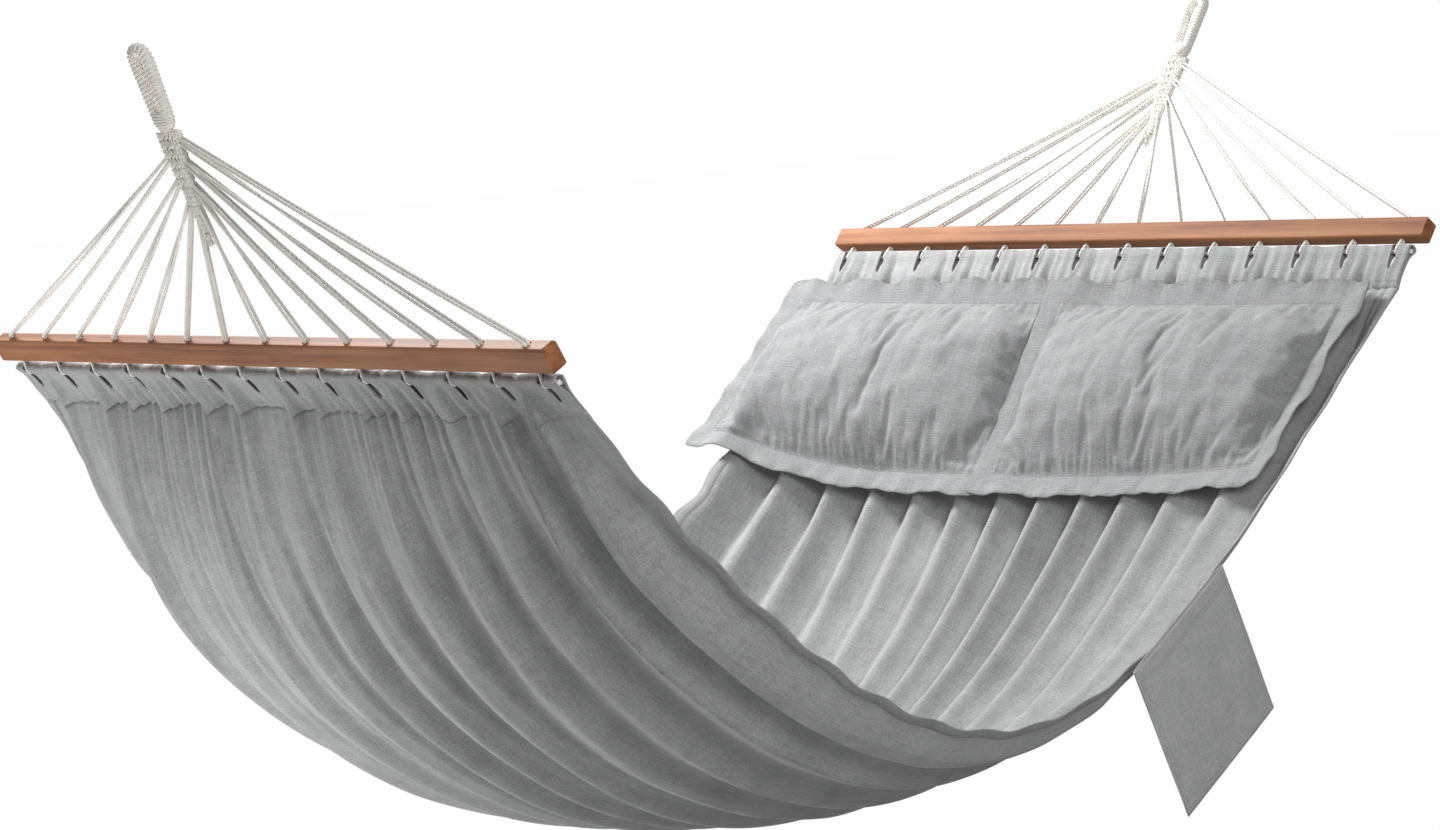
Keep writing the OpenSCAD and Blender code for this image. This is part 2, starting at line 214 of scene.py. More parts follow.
def threads(tree, uv, direction, pitch):
    """A row of threads, pitch metres apart and a little uneven."""
    wave = tree.nodes.new("ShaderNodeTexWave")
    wave.wave_type = "BANDS"
    wave.bands_direction = direction
    for name, value in (("Scale", 2 * math.pi / (20 * pitch)), ("Distortion", 1.6), ("Detail", 1.0),
                        ("Detail Scale", 0.6)):
        wave.inputs[name].default_value = value
    tree.links.new(uv, wave.inputs["Vector"])
    return wave.outputs["Fac"]


def linen(name, deep, middle, pale, pitch=0.0013):
    """Washed linen: uneven crossing threads, slubs along both of them and a soft mottling."""
    material, tree = new_material(name)
    uv = uv_in_metres(tree)
    slubs = link_math(tree, "ADD", link_noise(tree, uv, (35, 420, 1), 4, 0.65),
                      link_noise(tree, uv, (420, 35, 1), 4, 0.65))
    grain = link_noise(tree, uv, (420, 420, 420), 4, 0.8)
    mottle = link_noise(tree, uv, (14, 14, 14), 4, 0.6)
    tone = weighted_sum(tree, (slubs, 0.2), (grain, 0.46), (mottle, 0.16))
    colour = link_ramp(tree, tone, [(0.36, deep), (0.5, middle), (0.64, pale)])
    set_shader(tree, colour, {"Roughness": 0.93, "Sheen Weight": 0.18, "Sheen Roughness": 0.5,
                              "Specular IOR Level": 0.25})
    weave = link_math(tree, "MAXIMUM", threads(tree, uv, "X", pitch), threads(tree, uv, "Y", pitch))
    link_bump(tree, weave, 0.0004, 0.7)
    link_bump(tree, slubs, 0.0012, 0.6)
    link_bump(tree, mottle, 0.004, 0.35)
    return material


def cotton(name, deep, pale):
    """Off-white cotton with fine fibres that run along the strand."""
    material, tree = new_material(name)
    uv = uv_in_metres(tree)
    fibre = link_noise(tree, uv, (90, 700, 1), 2, 0.5)
    soil = link_noise(tree, uv, (22, 60, 1), 3, 0.6)
    tone = weighted_sum(tree, (fibre, 0.3), (soil, 0.7))
    set_shader(tree, link_ramp(tree, tone, [(0.33, deep), (0.62, pale)]),
               {"Roughness": 0.9, "Sheen Weight": 0.12, "Specular IOR Level": 0.25})
    return material


def oiled_wood(name):
    """Reddish-brown wood: long grain along the bar, fine pores and darker bands."""
    material, tree = new_material(name)
    place = tree.nodes.new("ShaderNodeTexCoord").outputs["Object"]
    bands = link_noise(tree, place, (2.2, 70, 70), 4, 0.6)
    pores = link_noise(tree, place, (28, 900, 900), 3, 0.7)
    broad = link_noise(tree, place, (5, 14, 14), 2, 0.5)
    tone = weighted_sum(tree, (bands, 0.55), (pores, 0.2), (broad, 0.25))
    colour = link_ramp(tree, tone, [(0.34, (0.11, 0.036, 0.014)), (0.45, (0.22, 0.08, 0.032)),
                                    (0.54, (0.3, 0.122, 0.05)), (0.68, (0.41, 0.19, 0.085))])
    set_shader(tree, colour, {"Roughness": 0.62, "Specular IOR Level": 0.2})
    link_bump(tree, pores, 0.0004, 0.5)
    link_bump(tree, bands, 0.0008, 0.3)
    return material


bed_linen = linen("bed_linen", (0.2, 0.202, 0.206), (0.355, 0.358, 0.362), (0.54, 0.543, 0.547))
# The pillows are the bed's own cloth. This copy is painted darker as painted shade, to offset the stronger
# key-lamp light that falls on them.
pillow_linen = linen("pillow_linen", (0.17, 0.172, 0.175), (0.285, 0.288, 0.292), (0.43, 0.433, 0.437))
# The pocket is the bed's own cloth. This copy is painted lighter as painted light, because the pocket faces
# away from the key lamp.
pocket_linen_painted_light = linen("pocket_linen_painted_light", (0.25, 0.252, 0.255), (0.43, 0.433, 0.437), (0.62, 0.623, 0.627))
linen_thread = linen("linen_thread", (0.2, 0.2, 0.205), (0.33, 0.335, 0.34), (0.5, 0.5, 0.505), 0.0006)
cotton_cord = cotton("cotton_cord", (0.78, 0.74, 0.685), (0.91, 0.88, 0.84))
bar_wood = oiled_wood("oiled_wood")

# %% [markdown]
# ## The same places as the CAD part
# The part's source is not at hand when this script runs, so the numbers that place the cords, the
# bed and the pillows are repeated here, in millimetres. Only the belly and the left hem's line
# differ a little, because that looks more like the photograph.

# %% Places and sizes in millimetres
BAR_GAP, FOOT_RISE, FOOT_RUN, HEAD_RISE, HEAD_RUN = 1650, 392, 130, 356, 240
BAR_D, LEAN = 35, {"foot": 62, "head": 52}
CORD_COUNT, CORD_PITCH, CORD_D, ROPE_D, ROPE_AT = 14, 90, 5, 8, 36.5
STRAND_AT, LOOP_R, MOUTH_RISE = 2.65, 6.8, 3.7
LASHING_AT, FIRST_LEVEL, LEVEL_STEP, LEFT_DROP, NECK_W, NECK_T = 92, 21, 31, 24, 50, 15
NECK_TOP, NECK_END, NECK_STEP, SHOULDER, LIP = 104.3, 244.0, 4.5, 14, 3
BED_W, BED_ROUND, HEM_SLOPE, WAIST, BELLY = 1220, 500, 46, 48, 158
BAND_SLOPE, BAND_LEN, SLIT_LEN, SLIT_W = {"foot": 60, "head": 48}, 62, 34, 11
FOLDS, FOLD_MID, FOLD_END = 12, 6, 11
PILLOW_W, PILLOW_L, FLANGE = 640, 345, 38
POCKET_W, POCKET_H, POCKET_T, POCKET_AT, POCKET_RAISE = 230, 235, 12, 285, 10
ENDS, TURN = ("foot", "head"), {"foot": -1, "head": 1}
BAR_Y = {"foot": FOOT_RUN, "head": FOOT_RUN + BAR_GAP}
HOOK = {"foot": (FOOT_RUN, FOOT_RISE), "head": (HEAD_RUN, HEAD_RISE)}
HOLE_X = [(i - (CORD_COUNT - 1) / 2) * CORD_PITCH for i in range(CORD_COUNT)]


def radians(degrees):
    return degrees * math.pi / 180


def points(x, y, z):
    """Arrays of coordinates that stretch to one shape, as an array of points."""
    return np.stack(np.broadcast_arrays(x, y, z), axis=-1).astype(float)


def to_world(end, place):
    """A point in an end's own frame (out from the bed is +Y, the bar is 0), in the row frame."""
    return place * [TURN[end], TURN[end], 1] + [0, BAR_Y[end], -FOOT_RISE]


def on_line(angle, x, n, a):
    """A point at x, n across and a along a line that rises at the angle."""
    s, c = math.sin(radians(angle)), math.cos(radians(angle))
    return points(x, n * s + a * c, a * s - n * c)


def on_fan(end, x, n, s):
    """A point in the plane of the cords, s below the hook."""
    run, rise = HOOK[end]
    angle = math.degrees(math.atan2(rise, run))
    return on_line(angle, x, n, -np.asarray(s, float)) + [0, run, rise]


def smooth_step(value):
    value = np.clip(value, 0, 1)
    return value * value * (3 - 2 * value)


# %% The bed's surface
def band_axes(end):
    """The directions along a doubled end, up to its rope, and across its layers."""
    s, c = math.sin(radians(BAND_SLOPE[end])), math.cos(radians(BAND_SLOPE[end]))
    return np.array([0, c, s]), np.array([0, -s, c])


def band_end(end):
    return on_line(LEAN[end], 0, 0, -ROPE_AT) - (BAND_LEN + 0.6) * band_axes(end)[0]


FOOT_H = BAR_GAP / 2 + band_end("foot")[1]
HEAD_H = BAR_GAP / 2 + band_end("head")[1]
HALF_L = (FOOT_H + HEAD_H) / 2
BED_MID = FOOT_RUN + BAR_GAP / 2 + (HEAD_H - FOOT_H) / 2
STEEP = math.tan(radians(HEM_SLOPE)) * math.hypot(BED_ROUND, HALF_L) / HALF_L
FOOT_Z = -FOOT_RISE + band_end("foot")[2]
HEAD_Z = -FOOT_RISE + band_end("head")[2]


def profile_z(t):
    return (STEEP * (np.hypot(BED_ROUND, t * HALF_L) - math.hypot(BED_ROUND, HALF_L))
            + FOOT_Z * (1 - t) / 2 + HEAD_Z * (1 + t) / 2)


def profile_slope(t):
    return STEEP * t * HALF_L / np.hypot(BED_ROUND, t * HALF_L) + (HEAD_Z - FOOT_Z) / (2 * HALF_L)


def half_w(t):
    return BED_W / 2 - WAIST * (1 - t * t)


SAG_ACROSS, SAG_ALONG, SAG_TO_FOOT, SAG_TO_LEFT = 3.7, 3.4, 0.64, 0.49
LEFT_HEM = ((54, -0.84, 0.3), (-30, 0.4, 0.32))


def sag_at(u, t):
    """The belly, deepest at the foot and the left, and the left hem's own (drop, place, spread)."""
    aside, far = np.minimum(1, np.abs(u)), np.minimum(1, np.abs(t))
    left_hem = sum(drop * np.exp(-(((t - place) / spread) ** 2)) for drop, place, spread in LEFT_HEM)
    left_hem = left_hem * np.clip(-u, 0, 1) ** 2 * (1 - far**8)
    belly = BELLY * (1 - aside**SAG_ACROSS) * (1 - far**SAG_ALONG)
    return belly * (1 - SAG_TO_FOOT * t) * (1 - SAG_TO_LEFT * u) + left_hem


def bed_point(u, t, lift):
    """u across from hem to hem, t along from the foot to the head, lifted off the cloth."""
    slope = profile_slope(t)
    d = (lift - sag_at(u, t)) / np.hypot(1, slope)
    return points(u * half_w(t), BED_MID + t * HALF_L - slope * d, profile_z(t) + d)


print("bed from band to band:", round(2 * HALF_L), "mm, lowest",
      round(float(bed_point(0.0, np.linspace(-1, 1, 99), 0)[:, 2].min())), "mm")


# %% Meshes from points
def soft_noise(x, y, z=0.0):
    """Smooth noise from -1 to 1 at every point, the same in each run."""
    x, y, z = np.broadcast_arrays(x, y, z)
    flat = [noise.noise(Vector(p)) for p in zip(x.ravel(), y.ravel(), z.ravel())]
    return np.array(flat).reshape(x.shape)


def mesh_piece(name, shells, material):
    """One smooth object from shells of (points in mm, faces, a UV in metres for each point)."""
    verts, faces, spots, start = [], [], [], 0
    for place, quads, spot in shells:
        verts.append(np.asarray(place).reshape(-1, 3) * MM)
        spots.append(np.asarray(spot).reshape(-1, 2))
        faces += [[start + k for k in face] for face in quads]
        start += len(verts[-1])
    mesh = bpy.data.meshes.new(name)
    mesh.from_pydata(np.vstack(verts).tolist(), [], faces)
    layer = mesh.uv_layers.new(name="UVMap")
    corners = np.zeros(len(mesh.loops), int)
    mesh.loops.foreach_get("vertex_index", corners)
    layer.data.foreach_set("uv", np.vstack(spots)[corners].ravel())
    mesh.polygons.foreach_set("use_smooth", [True] * len(mesh.polygons))
    mesh.materials.append(material)
    piece = bpy.data.objects.new(name, mesh)
    bpy.context.collection.objects.link(piece)
    return piece


def grid_faces(rows, columns, closed=False, skip=None):
    """Four-sided faces over rows by columns of points; closed joins the last column to the first."""
    faces = []
    for r in range(rows - 1):
        for c in range(columns if closed else columns - 1):
            if skip is not None and skip(r, c):
                continue
            d = (c + 1) % columns
            faces.append((r * columns + c, r * columns + d, (r + 1) * columns + d, (r + 1) * columns + c))
    return faces


def uv_spots(x, y):
    """Places in the UV map, in metres, for arrays of x and y in mm."""
    return np.stack(np.broadcast_arrays(x, y), axis=-1) * MM


def closed_shell(rings, spots=None):
    """A shell over rings of points, with a cap over the first ring and over the last."""
    rows, columns = rings.shape[:2]
    first, last = tuple(range(columns)), tuple(range((rows - 1) * columns, rows * columns))
    faces = grid_faces(rows, columns, closed=True) + [first[::-1], last]
    return rings, faces, rings[..., :2] * MM if spots is None else spots


def finish_piece(piece, body, slot, *nodes):
    """The piece rides on its body and stands for its CAD nodes; the slot it is given is not used."""
    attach(piece, body)
    if nodes:
        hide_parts(*nodes)
    print(piece.name, len(piece.data.polygons), "faces")


def cord_piece(name, shells, node, body="hammock"):
    """A finished piece of cotton cord."""
    finish_piece(mesh_piece(name, shells, cotton_cord), body, "cotton_cord", node)


def seam_piece(name, rows, body="hammock", slot="bed_linen"):
    """Rows of stitches in linen thread; the slot of the cloth that they hold is passed on but not used."""
    seam = mesh_piece(name, rows, linen_thread)
    finish_piece(seam, body, slot)
    return seam


def select_only(piece):
    bpy.ops.object.select_all(action="DESELECT")
    piece.select_set(True)
    bpy.context.view_layer.objects.active = piece


def apply_modifiers(piece):
    select_only(piece)
    for modifier in list(piece.modifiers):
        bpy.ops.object.modifier_apply(modifier=modifier.name)


def thicken(piece, thickness, offset=0):
    """A sheet becomes cloth, thickness metres thick; at offset -1 its own surface is the outside."""
    cloth = piece.modifiers.new("cloth", "SOLIDIFY")
    cloth.thickness, cloth.offset = thickness, offset
    apply_modifiers(piece)


# %% [markdown]
# ## Wooden bars
# A bar is a plain eased batten with a row of bores. The CAD solid has that shape exactly, so it
# stays, and only its finish changes.

# %% Wooden bars
for end in ENDS:
    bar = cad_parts[f"{end}_spreader_bar"]
    bar.data.materials.clear()
    bar.data.materials.append(bar_wood)

# %% [markdown]
# ## Cords
# A suspension cord is three plies of cotton laid round each other. Its section is the softened
# outline of three touching circles, and it turns as it runs along the cord. Each loop leaves the
# woven neck, goes through the bar, round the header rope and back, so one long path makes both
# strands.


# %% Tubes along a path
def three_ply(sides, depth=1.0):
    """Radius, as a share of the strand's own, at each angle round three plies pressed together."""
    angles = np.arange(sides) * 2 * math.pi / sides
    off = (angles + math.pi / 3) % (2 * math.pi / 3) - math.pi / 3
    return angles, 1 - depth * (1 - 0.4 * np.cos(off) - np.sqrt(0.6**2 - (0.4 * np.sin(off)) ** 2))


def plain_round(sides):
    return np.arange(sides) * 2 * math.pi / sides, np.ones(sides)


def running_length(path):
    """How far along the path each of its points lies."""
    return np.concatenate([[0], np.cumsum(np.linalg.norm(np.diff(path, axis=0), axis=1))])


def at_lengths(path, run, spots):
    """Points of the path at other lengths along it than its own."""
    return np.stack([np.interp(spots, run, path[:, k]) for k in range(3)], axis=1)


def even_path(path, step, soften=2):
    """The same path with points step apart, its bends eased by a running mean."""
    run = running_length(path)
    path = at_lengths(path, run, np.linspace(0, run[-1], max(int(run[-1] / step), 3) + 1))
    for _ in range(soften):
        path[1:-1] = (path[:-2] + 2 * path[1:-1] + path[2:]) / 4
    return path


def path_frames(path):
    """Tangents and two cross directions that don't spin along the path."""
    tangents = np.gradient(path, axis=0)
    tangents /= np.linalg.norm(tangents, axis=1)[:, None]
    side = np.cross(tangents[0], [0.31, 0.2, 0.93])
    sides = []
    for tangent in tangents:
        side = side - tangent * side.dot(tangent)
        side /= np.linalg.norm(side)
        sides.append(side)
    sides = np.array(sides)
    return tangents, sides, np.cross(tangents, sides)


def tube(path, radius, section, lay=None):
    """A closed tube; the section turns once in each lay, and radius may vary along the path."""
    angles, shares = section
    _, side, other = path_frames(path)
    run = running_length(path)
    turn = 2 * math.pi * run / lay if lay else 0 * run
    radius = np.broadcast_to(radius, run.shape)[:, None]
    spin = angles + turn[:, None]
    ring = (path[:, None] + (radius * shares * np.cos(spin))[..., None] * side[:, None]
            + (radius * shares * np.sin(spin))[..., None] * other[:, None])
    share = np.arange(len(angles)) / len(angles)
    return closed_shell(ring, uv_spots(run[:, None], share * 2 * math.pi * radius))


# %% Doubled suspension cords
def neck_half_w(k):
    return NECK_W / 2 - k * NECK_STEP


SLACK, HALF_TURNS = 3.0, (1, 0, 0, 1)
CORD_STEP, CORD_LAY, ROPE_LAY, PRESSED = 3.0, 22, 26, 0.55


def cord_path(end, i):
    """One loop's points in the row frame, from the neck through the bar and back."""
    left, rank, flip = i < CORD_COUNT / 2, min(i, CORD_COUNT - 1 - i), TURN[end]
    x = flip * HOLE_X[i]
    exit_s = LASHING_AT + FIRST_LEVEL + rank // 2 * LEVEL_STEP + rank % 2 * (CORD_D + 2)
    exit_s += LEFT_DROP if left else 0
    start_x = flip * (-1 if left else 1) * (neck_half_w(rank // 2 + 1) - 1)
    start = on_fan(end, start_x, 0, exit_s)
    mouth = on_line(LEAN[end], x, 0, BAR_D / 2 + MOUTH_RISE)
    run = np.linspace(0, 1, 90)[:, None]
    middle = start + (mouth - start) * run
    middle[:, 2] -= SLACK * np.sin(math.pi * run[:, 0]) * abs(HOLE_X[i]) / HOLE_X[-1]
    tangents = path_frames(middle)[0]
    across = on_line(LEAN[end], 0, 1, 0)
    across = across - tangents * (tangents @ across)[:, None]
    across /= np.linalg.norm(across, axis=1)[:, None]
    third = np.cross(tangents, across)
    spin = (1 - run) * HALF_TURNS[(i + (end == "head")) % 4] * math.pi
    ways = []
    for sign in (1, -1):
        free = middle + sign * STRAND_AT * (np.cos(spin) * across + np.sin(spin) * third)
        under = on_line(LEAN[end], x, sign * STRAND_AT, -BAR_D / 2 - 1)
        turn = on_line(LEAN[end], x, sign * LOOP_R, -ROPE_AT)
        ways.append(np.vstack([free, under[None], turn[None]]))
    angles = np.linspace(0, math.pi, 14)[1:-1]
    loop = on_line(LEAN[end], x, LOOP_R * np.cos(angles), -ROPE_AT - LOOP_R * np.sin(angles))
    return to_world(end, np.vstack([ways[0], loop, ways[1][::-1]]))


for end in ENDS:
    cord_lengths = []
    for i in range(CORD_COUNT):
        path = even_path(cord_path(end, i), CORD_STEP)
        cord_lengths.append(round(float(running_length(path)[-1])))
        rope = tube(path, CORD_D / 2, three_ply(12, PRESSED), lay=CORD_LAY)
        cord_piece(f"{end}_twisted_cord_{i + 1:02d}", [rope], f"{end}_cord_{i + 1:02d}")
    print(end, "loops, along both strands, in mm:", cord_lengths)

# %% Header ropes
for end in ENDS:
    ends_x = np.linspace(-BED_W / 2, BED_W / 2, 300)
    path = to_world(end, on_line(LEAN[end], ends_x, 0, -ROPE_AT))
    rope = tube(path, ROPE_D / 2, three_ply(12), lay=ROPE_LAY)
    cord_piece(f"{end}_twisted_header_rope", [rope], f"{end}_header_rope")

# %% [markdown]
# ## Wrapped eyes
# The cords fold over the hook as one thick bundle, and a thin cord is wound close round it. The
# winding is a helix round the bundle's own path. A shorter winding round both legs lashes them.


# %% Wrapped eyes
def winding(path, reach, pitch, per_turn=18):
    """A helix round a path, reach away from it."""
    run = running_length(path)
    spots = np.linspace(0, run[-1], int(run[-1] / pitch * per_turn))
    middle = at_lengths(path, run, spots)
    _, side, other = path_frames(middle)
    spin = (2 * math.pi * spots / pitch)[:, None]
    return middle + reach * np.cos(spin) * side + reach * np.sin(spin) * other


EYE_SLOT, EYE_BUNDLE_D, LEG_CLOSE, LEG_LEN, BUNDLE_STEP = 14, 17, 2.5, 80, 2.5
WRAP_PITCH, WRAP_R, CORE_R = 5.6, 2.9, 6.0
LASH_TOP, LASH_END, LASH_PITCH, LASH_R = 79, 103, 3.7, 1.9
LASH_S = np.linspace(LASH_TOP, LASH_END, 40)
LASH_HALF_X = np.interp(LASH_S, [LASH_TOP, 90, 98, LASH_END], [18.4, 17.4, 12.5, 8])
LASH_HALF_N = np.interp(LASH_S, [LASH_TOP, 92, LASH_END], [8.2, 10.2, 7])


def lash_oval(end, spin, s):
    """A point of the oval on which the lashing is wound, s below the hook."""
    half_x, half_n = np.interp(s, LASH_S, LASH_HALF_X), np.interp(s, LASH_S, LASH_HALF_N)
    return to_world(end, on_fan(end, half_x * np.cos(spin), half_n * np.sin(spin), s))


turn_r = (EYE_SLOT + EYE_BUNDLE_D) / 2
bow = np.radians(np.linspace(-LEG_CLOSE, 180 + LEG_CLOSE, 40))
leg, tilt = np.linspace(LEG_LEN, 1, 24), math.tan(radians(LEG_CLOSE))
eye_x = np.concatenate([turn_r - leg * tilt, turn_r * np.cos(bow), leg[::-1] * tilt - turn_r])
eye_s = EYE_SLOT / 2 + np.concatenate([leg, -turn_r * np.sin(bow), leg[::-1]])
lash_spin = np.linspace(0, 2 * math.pi * (LASH_END - LASH_TOP) / LASH_PITCH, 150)
lash_level = np.interp(lash_spin, [0, lash_spin[-1]], [LASH_TOP, LASH_END])
ball_spin = -np.linspace(0, 2 * math.pi, 25)[:-1]
ball_s = np.linspace(LASH_TOP - 1, LASH_END + 0.5, 14)[:, None] + 0 * ball_spin
for end in ENDS:
    bundle = even_path(to_world(end, on_fan(end, eye_x, 0, eye_s)), BUNDLE_STEP)
    wrap = tube(winding(bundle, WRAP_PITCH, WRAP_PITCH), WRAP_R, plain_round(9))
    core = tube(bundle, CORE_R, plain_round(12))
    lashing = tube(lash_oval(end, lash_spin, lash_level), LASH_R, plain_round(7))
    ball = closed_shell(lash_oval(end, ball_spin, ball_s))
    cord_piece(f"{end}_wrapped_eye", [wrap, core, lashing, ball], f"{end}_eye", "eyes")

# %% [markdown]
# ## Woven necks
# Below the lashing the strands are plaited into a flat sleeve: one set runs round it to the right,
# the other to the left, and they pass over and under each other. Each set is a helix on a flat oval,
# moved out and in by a cosine that changes sign from one crossing to the next. The sleeve narrows
# below each level where cords leave it.


# %% Woven necks
def neck_reach(s, world_left):
    """Half the neck's width on one side, s below the hook."""
    drop = LEFT_DROP if world_left else 0
    places, widths = [0], [neck_half_w(0)]
    for k in range(4):
        level = LASHING_AT + FIRST_LEVEL + drop + k * LEVEL_STEP - LIP
        places += [level, level + SHOULDER]
        widths += [neck_half_w(k), neck_half_w(k + 1)]
    return np.interp(s, places, widths)


def neck_place(end, spin, s, out):
    """A point on the flat oval sleeve, moved outwards by out."""
    c, n = np.cos(spin), np.sin(spin)
    right_reach, left_reach = neck_reach(s, TURN[end] < 0), neck_reach(s, TURN[end] > 0)
    reach = np.where(c > 0, right_reach, left_reach) - 3.2 + out
    thick = np.interp(s, [NECK_TOP, 150, NECK_END], [NECK_T / 2, NECK_T / 2 - 0.4, 5.0]) - 3.0 + out
    x = reach * np.sign(c) * np.abs(c) ** 0.85
    return to_world(end, on_fan(end, x, thick * np.sign(n) * np.abs(n) ** 0.6, s))


CARRIERS, PAIR_GAP, BRAID_LAY, BRAID_LIFT, YARN_R = 9, 0.42, 118, 1.9, 2.1
s = np.linspace(NECK_TOP + 0.5, NECK_END - 1, 110)
slim = np.interp(s, [NECK_TOP, NECK_END], [1.0, 0.62])
core_spin = -np.linspace(0, 2 * math.pi, 37)[:-1]
core_s = np.linspace(NECK_TOP, NECK_END, 40)[:, None]
for end in ENDS:
    shells = []
    for way in (1, -1):
        for k in range(CARRIERS):
            for beside in (-PAIR_GAP / 2, PAIR_GAP / 2):
                aside = 2 * math.pi * beside / CARRIERS
                travel = way * 2 * math.pi * (s - NECK_TOP) / BRAID_LAY
                spin = travel + 2 * math.pi * k / CARRIERS + aside
                lift = way * BRAID_LIFT * np.cos(CARRIERS * (spin - aside))
                path = neck_place(end, spin, s, lift * slim)
                shells.append(tube(path, YARN_R * slim, plain_round(6)))
    shells.append(closed_shell(neck_place(end, core_spin, core_s, -1.9)))
    cord_piece(f"{end}_woven_neck", shells, f"{end}_neck")

# %% Tail knots
TAILS, KNOT_AT = 6, NECK_END + 5
a, flare = np.linspace(0, 2 * math.pi, 90), np.linspace(0, 1, 8)
for end in ENDS:
    knot = on_fan(end, 1.65 * (np.sin(a) + 2 * np.sin(2 * a)), 1.45 * (np.cos(a) - 2 * np.cos(2 * a)),
                  KNOT_AT + 2.6 * np.sin(3 * a))
    shells = [tube(to_world(end, knot), YARN_R, plain_round(8))]
    for k in range(TAILS):
        spin = 2 * math.pi * k / TAILS
        tail = on_fan(end, (1.6 + 3.2 * flare**2) * math.cos(spin), (1.6 + 2.4 * flare**2) * math.sin(spin),
                      KNOT_AT + (11 + 2 * (k % 3)) * flare)
        shells.append(tube(to_world(end, tail), 1.3, three_ply(9), lay=8))
    cord_piece(f"{end}_tail_tassel", shells, f"{end}_tail_knot")

# %% [markdown]
# ## The bed cloth
# The cloth is gathered at each bar and hangs in soft lengthwise folds between them. It is a fine
# grid on the bed's surface, moved along the surface's normal by three things added up: broad folds
# with round crests and tighter valleys, gathers that fade away from the bars, and slow random waves.
# The doubled ends go round the header ropes and are slit at every cord.

# %% Folds and gathers
FOOT_FADE, HEAD_FADE, NARROW_FADE, HALF_ARC = 380.0, 120.0, 150, HALF_L * 1.3
RUFFLE, GATHER_SEED = {"foot": 19.0, "head": 22.0}, {"foot": 11.0, "head": 47.0}
HOLE_STEPS, EDGE_COLUMNS = 18, [590.0, 595, 600, 605, 610]
columns = [-x for x in EDGE_COLUMNS[::-1]]
for x in HOLE_X:
    steps = HOLE_STEPS if x < HOLE_X[-1] else 1
    columns += [x - 0.5] + [x + 0.5 + k * (CORD_PITCH - 1) / HOLE_STEPS for k in range(steps)]
COLUMNS = np.array(columns + EDGE_COLUMNS)


def gather(x, end, broad=1.0, narrow=1.0):
    """Uneven pleats across the cloth, from -1 to 1, out of broad ones and narrow ones."""
    seed = GATHER_SEED[end]
    phase = 2 * math.pi * x / CORD_PITCH + 0.9 * np.sin(2 * math.pi * x / 211 + seed)
    phase = phase + 0.5 * np.sin(x / 77 + seed)
    phase = phase + math.pi + 0.85 * np.sin(phase + 0.4)
    fine = np.cos(2 * math.pi * x / 21.5 + 2.3 * np.sin(x / 67 + seed))
    fine = fine * (0.6 + 0.4 * np.sin(x / 90 + seed))
    wide = (2 * np.abs(np.cos(phase / 2)) ** 0.62 - 1) * (0.8 + 0.2 * np.sin(x / 113 + 2 * seed))
    return 0.74 * wide * broad + 0.26 * fine * narrow


def slow_wave(u, t):
    """Random waves, long in the bed's own direction, in mm."""
    x, y = u * BED_W / 2, t * HALF_ARC
    return 5.0 * soft_noise(x / 120, y / 330, 3.1) + 2.2 * soft_noise(x / 42, y / 130, 9.4)


def cloth_rise(u, t):
    """How far the cloth stands off its middle surface, in mm."""
    arc = HALF_L * np.hypot(1, profile_slope(t))
    from_foot, from_head = (1 + t) * arc, (1 - t) * arc
    height = FOLD_MID + (FOLD_END - FOLD_MID) * t * t
    phase = math.pi * FOLDS * (u + 1) + 1.1 * np.sin(2.7 * u + 1.4 * t)
    phase = phase + 0.7 * np.sin(5.3 * u - 2.1 * t)
    phase = phase + 0.55 * np.sin(phase + 0.3)
    crest = 0.75 * (2 * np.abs(np.cos(phase / 2)) ** 0.8 - 1) + 0.25 * np.cos(phase)
    uneven = 1 + 0.35 * np.sin(4.1 * u + 0.6) * np.cos(2.3 * u - 1.1 * t)
    depth = 2.1 - 0.4 * smooth_step((0.15 - t) / 0.4)
    fold = height * (1 + (crest - 1) * depth * uneven)
    away = smooth_step(np.minimum(from_foot / 260, from_head / 120))
    hem = 1 - 0.7 * smooth_step((np.abs(u) - 0.93) / 0.07)
    x = u * BED_W / 2
    pleats = RUFFLE["foot"] * gather(x, "foot", np.exp(-from_foot / FOOT_FADE),
                                     np.exp(-from_foot / NARROW_FADE))
    pleats = pleats + RUFFLE["head"] * np.exp(-from_head / HEAD_FADE) * (gather(x, "head") - 1) / 2
    calm = 1 - 0.75 * smooth_step((t - 0.6) / 0.1)
    return fold * away * hem + pleats + slow_wave(u, t) * away * hem * calm


def cloth_point(u, t, lift=0.0):
    """A point of the finished cloth, with the side hems a little wavy."""
    u, t = np.broadcast_arrays(np.asarray(u, float), np.asarray(t, float))
    ripple = np.where(u < 0, 1.0, 0.35) * np.abs(u) ** 14 * (1 - np.abs(t) ** 8)
    turns = 2 * math.pi * t * HALF_ARC
    wave = (6.5 - 3.5 * t) * ripple * np.sin(turns / 122 + 1.0)
    place = bed_point(u, t, cloth_rise(u, t) + lift + wave)
    place[..., 0] += np.sign(u) * ripple * 4.0 * np.sin(turns / 97) * (0.6 - 0.4 * t)
    return place


# %% Bed cloth
def linen_sheet(name, place, spots, thickness, length, node, skip=None):
    """A finished sheet and its flat size in metres; the width is the mean of its rows with all folds."""
    sheet = mesh_piece(name, [(place, grid_faces(*place.shape[:2], skip=skip), spots)], bed_linen)
    thicken(sheet, thickness)
    finish_piece(sheet, "hammock", "bed_linen", node)
    across = np.linalg.norm(np.diff(place, axis=1), axis=2).sum(axis=1).mean()
    print(name, "laid flat:", round(across), "mm wide,", round(length), "mm long")
    return sheet, (across * MM, length * MM)


